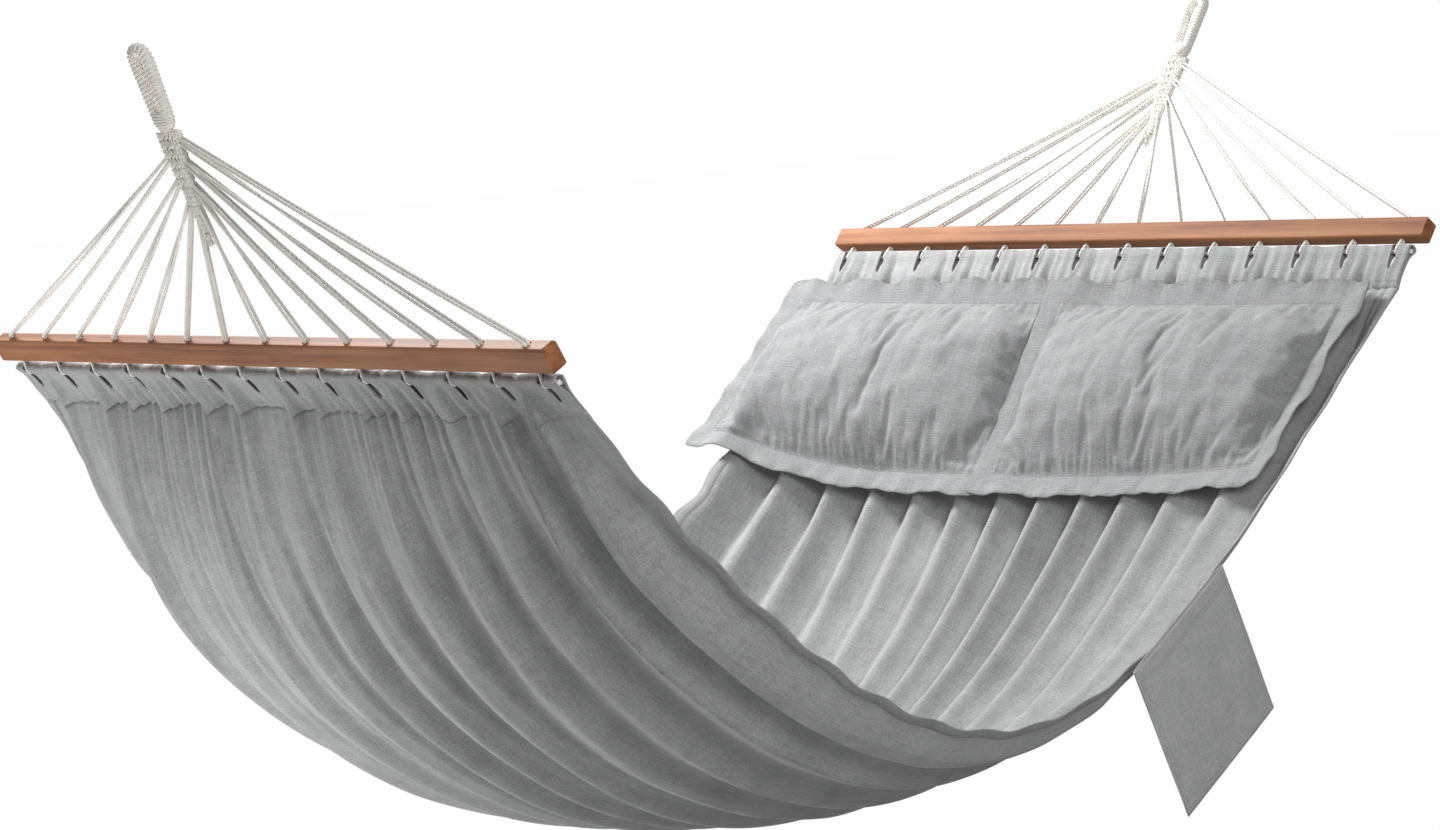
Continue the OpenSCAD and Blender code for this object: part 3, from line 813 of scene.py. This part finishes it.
BED_ROWS, NEAR_MIDDLE, BED_CLOTH_T, TUNNEL_CLOTH_T = 186, 120, 0.0018, 0.0015
rows = np.linspace(-1, 1, BED_ROWS)
rows = 1.25 * rows - 0.25 * rows**3
U, T = np.meshgrid(COLUMNS / (BED_W / 2), rows)
surface = cloth_point(U, T)
along = running_length(surface[:, NEAR_MIDDLE])
spots = uv_spots(U * BED_W / 2, along[:, None])
bed, bed_cut = linen_sheet("bed_cloth_folds", surface, spots, BED_CLOTH_T, along[-1], "bed_cloth")

# %% Slit tunnels
TUNNEL_ROWS = ([(below, 1) for below in np.linspace(BAND_LEN + 3, 8, 12)]
               + [(None, angle) for angle in np.linspace(62, -62, 9)]
               + [(below, -1) for below in np.linspace(8, BAND_LEN, 12)])


def tunnel_sheet(end, rows):
    """A row of points for each (distance below the rope, side) or (None, angle round the rope)."""
    along, across = band_axes(end)
    centre = on_line(LEAN[end], 0, 0, -ROPE_AT)
    pleat = gather(COLUMNS * TURN[end], end)
    near = np.array([COLUMNS - x for x in HOLE_X])
    near = near[np.abs(near).argmin(axis=0), np.arange(len(COLUMNS))]
    flare = np.exp(-(np.abs(near) - 0.5) / 11)
    sheet, slit, run = [], [], []
    for below, side in rows:
        if below is None:
            angle = radians(side)
            direction = math.cos(angle) * along + math.sin(angle) * across
            reach = ROPE_D / 2 + 1.6 + 4.4 * (0.5 + 0.5 * pleat) + 1.8 * flare
            line = centre + direction * reach[:, None]
            open_at = 1.0
        else:
            gap = 1.0 + 4.2 * math.exp(-((below / 11) ** 2))
            ruffle = np.interp(below, [0, 12, 32, BAND_LEN], [3.2, 5.5, 10.0, RUFFLE[end]])
            sink = below / BAND_LEN / 2 if end == "head" else 0
            ruffle = ruffle * (pleat * (1 - sink) - sink)
            puff = 2.2 * math.sin(math.pi * min(1, below / BAND_LEN)) * (0.6 - 0.4 * pleat)
            line = centre - along * below + across * (ruffle + side * (gap + puff))[:, None]
            open_at = max(0.0, 1 - (below / SLIT_LEN) ** 2) ** 0.5
            line = line + across * (side * 1.5 * flare * open_at)[:, None]
        shift = np.sign(near) * (SLIT_W / 2) * open_at * flare
        line = line + np.array([1.0, 0, 0]) * (COLUMNS + shift)[:, None]
        sheet.append(to_world(end, line))
        slit.append(open_at > 0)
        run.append(line[0])
    return np.array(sheet), slit, running_length(np.array(run))


tunnels, tunnel_cut = {}, {}
hole_columns = {int(np.abs(COLUMNS - (x - 0.5)).argmin()) for x in HOLE_X}
for end in ENDS:
    sheet, slit, run = tunnel_sheet(end, TUNNEL_ROWS)

    def in_slit(r, c):
        return c in hole_columns and slit[r] and slit[r + 1]

    spots = uv_spots(COLUMNS, run[:, None] + 3000)
    tunnels[end], tunnel_cut[end] = linen_sheet(f"{end}_gathered_tunnel", sheet, spots, TUNNEL_CLOTH_T,
                                                run[-1], f"{end}_slit_tunnel", in_slit)

# %% [markdown]
# ## Hems and stitching
# Each long edge of the bed is turned in twice and sewn with two rows. The hem is a thin closed strip
# that follows the cloth just off its surface. A stitch is one small spindle of thread; it is made
# once and set down along every seam, a few millimetres apart.


# %% Stitches and hems
AROUND = ((1, 0), (0, 1), (-1, 0), (0, -1))
STITCH = np.array([[-1, 0, 0], *[[-0.55, c, n] for c, n in AROUND], *[[0.55, c, n] for c, n in AROUND],
                   [1, 0, 0]])
STITCH_FACES = ([(0, 1 + (k + 1) % 4, 1 + k) for k in range(4)]
                + [(1 + k, 1 + (k + 1) % 4, 5 + (k + 1) % 4, 5 + k) for k in range(4)]
                + [(9, 5 + k, 5 + (k + 1) % 4) for k in range(4)])


def stitch_row(line, normals, length=3.4, thick=0.42):
    """A shell of stitches centred on the points of a line; the line's spacing is the stitch's."""
    ahead = np.gradient(line, axis=0)
    ahead /= np.linalg.norm(ahead, axis=1)[:, None]
    normals = normals / np.linalg.norm(normals, axis=1)[:, None]
    across = np.cross(normals, ahead)
    axes = np.stack([ahead * length / 2, across * thick, normals * thick], axis=1)
    place = line[:, None] + STITCH @ axes
    faces = [tuple(10 * k + v for v in face) for k in range(len(line)) for face in STITCH_FACES]
    return place, faces, place[..., :2] * MM


def even_line(line, step=5.0):
    """Points one stitch apart along a line, clear of its ends."""
    run = running_length(line)
    return at_lengths(line, run, np.arange(step, run[-1] - step, step))


def stitch_above(line, base):
    """A row of stitches along a line that stands away from the same line on the base."""
    thread, under = even_line(line), even_line(base)
    count = min(len(thread), len(under))
    return stitch_row(thread[:count], thread[:count] - under[:count])


HEM_W, HEM_LIFT, HEM_ROWS, HEM_SPAN, THREAD_LIFT = 17, 1.5, 470, 600, 0.35
hem_t = np.linspace(-1, 1, HEM_ROWS)
section = [(HEM_W, HEM_LIFT), (9, HEM_LIFT + 0.3), (1.5, HEM_LIFT), (-1.2, 0), (1.5, -HEM_LIFT),
           (9, -HEM_LIFT - 0.3), (HEM_W, -HEM_LIFT), (HEM_W + 0.8, 0)]
hem_pieces = []
for side, sign in (("left", -1), ("right", 1)):

    def hem_line(inset, lift):
        return cloth_point(sign * (1 - inset / HEM_SPAN), hem_t, lift)

    ring = np.stack([hem_line(*place) for place in section[::sign]], axis=1)
    spots = uv_spots(np.arange(len(section)) * 8 + 5000, hem_t[:, None] * 970)
    hem = mesh_piece(f"{side}_side_hem", [closed_shell(ring, spots)], bed_linen)
    finish_piece(hem, "hammock", "bed_linen")
    rows = [stitch_above(hem_line(inset, face * (HEM_LIFT + THREAD_LIFT)), hem_line(inset, 0.0))
            for inset in (3.0, 14.0) for face in (1, -1)]
    hem_pieces += [hem, seam_piece(f"{side}_hem_stitches", rows)]

for end in ENDS:
    across = band_axes(end)[1] * [1, TURN[end], 1]
    rows = []
    for below in (BAND_LEN - 2.5, BAND_LEN - 9):
        for side in (1, -1):
            line = even_line(tunnel_sheet(end, [(below, side)])[0][0] + side * across)
            rows.append(stitch_row(line, np.broadcast_to(side * across, line.shape)))
    seam = seam_piece(f"{end}_tunnel_stitches", rows)

# %% [markdown]
# ## Pillows
# A pillow is a flat cover with a sewn border, stuffed through the middle. It is made flat: two layers
# of cloth that meet at the rim, the middle raised to a low crown. Blender's cloth solver then blows
# the middle up while the border is pinned, and the cloth that is a little too large for the crown
# puckers along the seam. The result is laid on the bed by the CAD part's own rule, only a little
# further down, so that its underside rests on the crests of the folds.

# %% Places of the pillows
PILLOW_TOP_T = 1 - 2 / HALF_L
OVERLAP, FROM_HEM = 36, 28
PILLOW_FROM = {"right": half_w(PILLOW_TOP_T) - FROM_HEM - PILLOW_W}
PILLOW_FROM["left"] = PILLOW_FROM["right"] + OVERLAP - PILLOW_W
PILLOW_LIFT = {"left": FOLD_END + 7.0, "right": FOLD_END + 1.6}
FLANGE_T, FURTHER, SLIP = 3.0, 1.09, {"left": 30, "right": 14}


def run_below(t, length):
    """The place along the bed that lies a length further down the slope."""
    while length > 0:
        t -= min(length, 20) / (HALF_L * math.hypot(1, float(profile_slope(t))))
        length -= 20
    return t


PILLOW_FOOT_T = run_below(PILLOW_TOP_T, PILLOW_L)


def lay_pillow(side, x, y, height):
    """A point of a pillow, x and y from its middle, height above its flat underside."""
    rise = 0 if side == "left" else PILLOW_LIFT["left"] - PILLOW_LIFT["right"] + FLANGE_T + 0.8
    from_left, down = x + PILLOW_W / 2, 0.5 - y / PILLOW_L
    over = rise * np.clip((OVERLAP + 2 * FLANGE - from_left) / (2 * FLANGE), 0, 1)
    slip = SLIP[side] * np.clip(down, 0, 1) * np.clip(0.5 - x / PILLOW_W, 0, 1)
    u = (PILLOW_FROM[side] + from_left - slip) / half_w(PILLOW_TOP_T)
    t = PILLOW_TOP_T + (PILLOW_FOOT_T - PILLOW_TOP_T) * down * FURTHER
    return bed_point(u, t, PILLOW_LIFT[side] + over + height)


# %% Flat pillow, cloth solver and laying
BODY_X, BODY_Y, CROWN = PILLOW_W / 2 - FLANGE, PILLOW_L / 2 - FLANGE, 44


def pillow_lines(half, body, cells):
    outer = np.linspace(body, half, 7)
    return np.concatenate([-outer[::-1], np.linspace(-body, body, cells + 1)[1:-1], outer])


def flat_pillow(name, seed):
    """The two layers, joined at the rim, and the numbers of the points that stay pinned."""
    xs, ys = pillow_lines(PILLOW_W / 2, BODY_X, 92), pillow_lines(PILLOW_L / 2, BODY_Y, 44)
    x, y = np.meshgrid(xs, ys)
    fx, fy = np.minimum(np.abs(x) / BODY_X, 1), np.minimum(np.abs(y) / BODY_Y, 1)
    crown = ((1 - fx**2.2) * (1 - fy**2.0)) ** 0.62
    dents = soft_noise(x / 85, y / 70, seed) * 5 + soft_noise(x / 33, y / 30, seed + 5) * 2.2
    upper = points(x, y, FLANGE_T + crown * (CROWN + dents)).reshape(-1, 3)
    lower = points(x, y, 0).reshape(-1, 3)
    rows, cols = x.shape
    count = rows * cols
    faces = grid_faces(rows, cols)
    faces += [tuple(count + k for k in face[::-1]) for face in faces]
    number = np.arange(count).reshape(rows, cols)
    rim = np.hstack([number[0], number[1:, -1], number[-1, -2::-1], number[-2:0:-1, 0]]).tolist()
    faces += [(rim[k - 1], count + rim[k - 1], count + rim[k], rim[k]) for k in range(len(rim))]
    spots = np.vstack([uv_spots(x, y), uv_spots(x + 900, y)])
    # The pillow wears the darker copy of the bed linen, whose lower colour is painted shade.
    piece = mesh_piece(name, [(np.vstack([upper, lower]), faces, spots)], pillow_linen)
    return piece, np.flatnonzero(np.tile(((fx >= 1) | (fy >= 1)).ravel(), 2))


def blow_up(piece, pinned, cap=26, frames=20):
    """The solver's result after the frames, no point further than cap mm from where it began."""
    began = np.array([v.co for v in piece.data.vertices])
    group = piece.vertex_groups.new(name="sewn")
    group.add([int(k) for k in pinned], 1.0, "REPLACE")
    cloth = piece.modifiers.new("inflate", "CLOTH")
    for name, value in (("quality", 6), ("mass", 0.25), ("tension_stiffness", 14),
                        ("compression_stiffness", 14), ("shear_stiffness", 4), ("bending_stiffness", 0.08),
                        ("shrink_min", -0.045), ("use_pressure", True), ("uniform_pressure_force", 4),
                        ("vertex_group_mass", "sewn")):
        setattr(cloth.settings, name, value)
    cloth.settings.effector_weights.gravity = 0
    cloth.collision_settings.use_collision = False
    cloth.point_cache.frame_start, cloth.point_cache.frame_end = 1, frames
    for step in range(1, frames + 1):
        bpy.context.scene.frame_set(step)
    shown = piece.evaluated_get(bpy.context.evaluated_depsgraph_get())
    moved = np.array([v.co for v in shown.data.vertices]) - began
    piece.modifiers.remove(cloth)
    piece.vertex_groups.remove(group)
    length = np.linalg.norm(moved, axis=1)
    print(piece.name, "swelled by", round(float(length.max()) * 1000, 1), "mm")
    return began + moved * np.minimum(1, cap * MM / np.maximum(length, 1e-9))[:, None]


for side, seed in (("left", 21.3), ("right", 64.8)):
    pillow, pinned = flat_pillow(f"{side}_stuffed_pillow", seed)
    local = blow_up(pillow, pinned)
    x, y, z = local.T / MM
    edge_x, edge_y = np.maximum(np.abs(x) - BODY_X, 0), np.maximum(np.abs(y) - BODY_Y, 0)
    outward = np.clip(np.maximum(edge_x, edge_y) / FLANGE, 0, 1)
    from_x, from_y = BODY_X - np.abs(x), BODY_Y - np.abs(y)
    inward = np.minimum(from_x, from_y)
    along = np.where(from_x < from_y, y, x)
    upper = np.arange(len(x)) < len(x) // 2
    inner = upper & (inward > 0)
    z = np.where(upper, z, np.maximum(z, 0) * 0.15)
    pucker = np.cos(2 * math.pi * along / 17 + 1.8 * np.sin(along / 37 + seed))
    z += np.where(inner, 1.5 * pucker * np.exp(-((inward - 9) / 11) ** 2), 0)
    creases = 3.4 * soft_noise(x / 70, y / 26, seed + 9) + 2.2 * soft_noise(x / 24, y / 60, seed + 12)
    z += np.where(inner, creases * smooth_step(inward / 30), 0)
    z -= np.where(upper, 1.1 * np.exp(-(inward / 3.5) ** 2), 0)
    meeting = (x > BODY_X - 4) if side == "left" else (x < 4 - BODY_X)
    free = np.where(meeting, 0.12 if side == "left" else 0.35, 1.0)
    around = np.where(edge_y > edge_x, x, y + 400)
    z += free * outward**1.4 * (4.0 + 3.2 * np.sin(2 * math.pi * around / 118 + seed)
                                + 1.8 * np.sin(2 * math.pi * around / 47 + 2 * seed))
    pull = outward**2 * 3.5 * np.sin(2 * math.pi * around / 133 + seed)
    x = x + np.where(edge_x > 0, np.sign(x) * pull * free, 0)
    y = y + np.where(edge_y > 0, np.sign(y) * pull, 0)
    laid = lay_pillow(side, x, y, z)
    pillow.data.vertices.foreach_set("co", (laid * MM).astype(np.float32).ravel())
    pillow.data.update()
    smooth = pillow.modifiers.new("smooth", "SUBSURF")
    smooth.levels = smooth.render_levels = 1
    apply_modifiers(pillow)
    finish_piece(pillow, f"{side}_pillow", "pillow_linen", f"{side}_pillow_cover", f"{side}_pillow_filling")
    rows, run = [], np.linspace(0, 1, 120)
    for inset, lift in ((-2.2, 1.6), (2.2, 0.5)):
        bx, by = BODY_X + inset, BODY_Y + inset
        corners = ((-bx, -by), (bx, -by), (bx, by), (-bx, by), (-bx, -by))
        for (ax, ay), (cx, cy) in zip(corners, corners[1:]):
            seam_x, seam_y = ax + (cx - ax) * run, ay + (cy - ay) * run
            rows.append(stitch_above(lay_pillow(side, seam_x, seam_y, FLANGE_T + lift),
                                     lay_pillow(side, seam_x, seam_y, 0.0)))
    seam_piece(f"{side}_pillow_stitches", rows, f"{side}_pillow", "pillow_linen")

# %% [markdown]
# ## Side pocket
# The pocket is a flat pouch that hangs from the right hem, open at the top. It is lofted: a stack of
# thin closed rings from the mouth down to the sewn bottom, a little fuller in the middle. Its walls
# get their thickness after the loft is closed below.

# %% Side pocket
POCKET_T_AT = POCKET_AT / HALF_L
POCKET_TILT = math.atan(float(profile_slope(POCKET_T_AT)))
POCKET_X = float(half_w(POCKET_T_AT + POCKET_W / 2 * math.cos(POCKET_TILT) / HALF_L)) + 0.3
POCKET_LEAN, POCKET_CLOTH_T, POCKET_ROWS, POCKET_COLUMNS = 0.16, 0.0014, 60, 120
CORNER = 0.45  # the power that squares the pocket's ends


def hang_pocket(x, y, z):
    """A point of the pocket in the row frame; its own origin is at the middle of the mouth."""
    s, c = math.sin(POCKET_TILT), math.cos(POCKET_TILT)
    y = y + POCKET_LEAN * z
    return points(x + POCKET_X, BED_MID + POCKET_AT + y * c - z * s,
                  float(profile_z(POCKET_T_AT)) + POCKET_RAISE + y * s + z * c)


def pocket_wall(spin, z):
    """The pocket's outside at an angle round it and a height."""
    down = -z / POCKET_H
    full = 5.0 * (1 - down**3) * (0.72 + 0.5 * np.sin(math.pi * down)) + 0.9
    full = full + 0.7 * smooth_step((z + 24) / 3)
    y = POCKET_W / 2 * np.sign(np.cos(spin)) * np.abs(np.cos(spin)) ** CORNER
    x = POCKET_T / 2 + full * np.sign(np.sin(spin)) * np.abs(np.sin(spin)) ** 0.7
    wave = 2.0 * soft_noise(y / 70, z / 85, 5.0) + 0.9 * soft_noise(y / 24, z / 60, 8.0)
    return x + np.where(np.abs(y) < POCKET_W / 2 - 1, wave * (1 - np.abs(y) / POCKET_W), 0), y, z


spin = np.linspace(0, 2 * math.pi, POCKET_COLUMNS + 1)[:-1]
heights = np.linspace(0, -POCKET_H, POCKET_ROWS)
x, y, z = pocket_wall(spin[None, :], heights[:, None] + 0 * spin)
shell = closed_shell(hang_pocket(x, y, z), uv_spots(y + 1000 * np.sign(np.sin(spin)), z))
shell[1].pop(-2)  # the mouth stays open
# The pocket wears the lighter copy of the bed linen, whose raised colour is painted light.
pocket = mesh_piece("hanging_side_pocket", [shell], pocket_linen_painted_light)
select_only(pocket)
bpy.ops.object.mode_set(mode="EDIT")
bpy.ops.mesh.select_all(action="SELECT")
bpy.ops.mesh.normals_make_consistent(inside=False)
bpy.ops.object.mode_set(mode="OBJECT")
thicken(pocket, POCKET_CLOTH_T, offset=-1)
finish_piece(pocket, "pocket", "bed_linen", "side_pocket")

rows, run = [], np.linspace(0, 1, 90)
for inset in (3.5, 9.0):
    half, low, band = POCKET_W / 2 - inset, inset - POCKET_H, -14 - inset
    for (ay, az), (cy, cz) in (((-half, -6), (-half, low)), ((-half, low), (half, low)),
                               ((half, low), (half, -6)), ((-half, band), (half, band))):
        line_y, line_z = ay + (cy - ay) * run, az + (cz - az) * run
        cosine = np.sign(line_y) * np.abs(2 * line_y / POCKET_W) ** (1 / CORNER)
        angle = np.arccos(np.clip(cosine, -1, 1))
        for face in (1, -1):
            x = pocket_wall(face * angle, line_z)[0]
            line = even_line(hang_pocket(x + face * 0.3, line_y, line_z))
            rows.append(stitch_row(line, np.tile([float(face), 0, 0], (len(line), 1))))
seam_piece("pocket_stitches", rows, "pocket")
